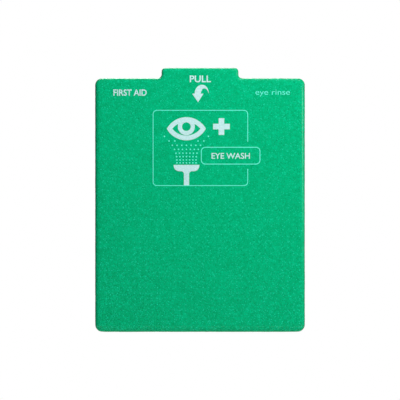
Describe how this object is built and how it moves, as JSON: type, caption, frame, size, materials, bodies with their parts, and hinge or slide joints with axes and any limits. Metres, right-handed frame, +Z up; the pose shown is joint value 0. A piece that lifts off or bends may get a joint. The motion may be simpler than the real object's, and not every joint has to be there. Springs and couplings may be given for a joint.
{
  "type": "emergency eyewash station",
  "caption": "Insulated, heated foam wall box with a drop-down front and pull tab, holding two eyewash bottles with eye cups and flip dust lids.",
  "frame": {"origin": "centre of the wall plate's bolt pattern, on the wall plane", "axes": "+X to the right as seen from the room, +Y into the wall, +Z up"},
  "size_m": [0.23, 0.1202, 0.2893],
  "materials": {
    "green_foam": "matte",
    "zinc_plated_steel": "satin",
    "steel_fasteners": "satin",
    "spreader_aluminium": "satin",
    "heater_film": "satin",
    "thermostat_plastic": "satin",
    "tin_contacts": "satin",
    "black_rubber": "matte",
    "black_plastic": "satin",
    "lamp_lens": "gloss",
    "lead_insulation": "satin",
    "hinge_nylon": "satin",
    "bottle_plastic": "gloss",
    "saline": "gloss",
    "cup_plastic": "satin",
    "insert_plastic": "satin",
    "dust_lid_plastic": "satin"
  },
  "bodies": {
    "wall_plate": {"wall_plate": "zinc_plated_steel", "hanging_studs": "steel_fasteners"},
    "case": {"case_bracket": "zinc_plated_steel", "back_shell": "green_foam", "lower_cradle": "green_foam", "upper_cradle": "green_foam", "heat_spreader": "spreader_aluminium", "heating_foil": "heater_film", "clamp_screws": "steel_fasteners", "clamp_washers": "steel_fasteners", "spacer_sleeves": "black_plastic", "clinch_nuts": "steel_fasteners", "thermostat_flange": "spreader_aluminium", "thermostat": "thermostat_plastic", "thermostat_tags": "tin_contacts", "thermostat_rivets": "spreader_aluminium", "lead_grommet": "black_rubber", "inlet_panel": "black_plastic", "power_jack": "black_plastic", "jack_contacts": "tin_contacts", "jack_nut": "steel_fasteners", "indicator_lamp": "black_plastic", "indicator_lens": "lamp_lens", "lead_jack_to_thermostat": "lead_insulation", "lead_thermostat_to_heater": "lead_insulation", "lead_heater_to_jack": "lead_insulation", "case_hinge_leaf_left": "hinge_nylon", "hinge_pin_left": "steel_fasteners", "case_hinge_leaf_right": "hinge_nylon", "hinge_pin_right": "steel_fasteners", "bottle_large": "bottle_plastic", "saline_large": "saline", "bottle_small": "bottle_plastic", "saline_small": "saline"},
    "lid": {"front_lid": "green_foam", "lid_hinge_leaf_left": "hinge_nylon", "lid_hinge_leaf_right": "hinge_nylon"},
    "large_cup": {"eye_cup_large": "cup_plastic", "spray_insert_large": "insert_plastic", "flip_pin_large": "steel_fasteners"},
    "large_dust_lid": {"flip_lid_large": "dust_lid_plastic"},
    "small_cup": {"eye_cup_small": "cup_plastic", "spray_insert_small": "insert_plastic", "flip_pin_small": "steel_fasteners"},
    "small_dust_lid": {"flip_lid_small": "dust_lid_plastic"}
  },
  "joints": [
    {"name": "case_lift", "type": "slide", "parent": "wall_plate", "child": "case", "axis": [0, 0, 1], "range_m": [0, 0.012]},
    {"name": "lid_swing", "type": "hinge", "parent": "case", "child": "lid", "pos_m": [0, -0.0742, -0.1365], "axis": [1, 0, 0], "range_deg": [0, 120]},
    {"name": "large_cup_twist", "type": "hinge", "parent": "case", "child": "large_cup", "pos_m": [-0.05, -0.0642, 0.03], "axis": [0, 0, 1], "range_deg": [0, 90]},
    {"name": "large_dust_lid_flip", "type": "hinge", "parent": "large_cup", "child": "large_dust_lid", "pos_m": [-0.076, -0.0642, 0.0608], "axis": [0, -1, 0], "range_deg": [0, 100]},
    {"name": "small_cup_twist", "type": "hinge", "parent": "case", "child": "small_cup", "pos_m": [0.024, -0.0542, 0], "axis": [0, 0, 1], "range_deg": [0, 90]},
    {"name": "small_dust_lid_flip", "type": "hinge", "parent": "small_cup", "child": "small_dust_lid", "pos_m": [0.0015, -0.0542, 0.0258], "axis": [0, -1, 0], "range_deg": [0, 100]}
  ]
}
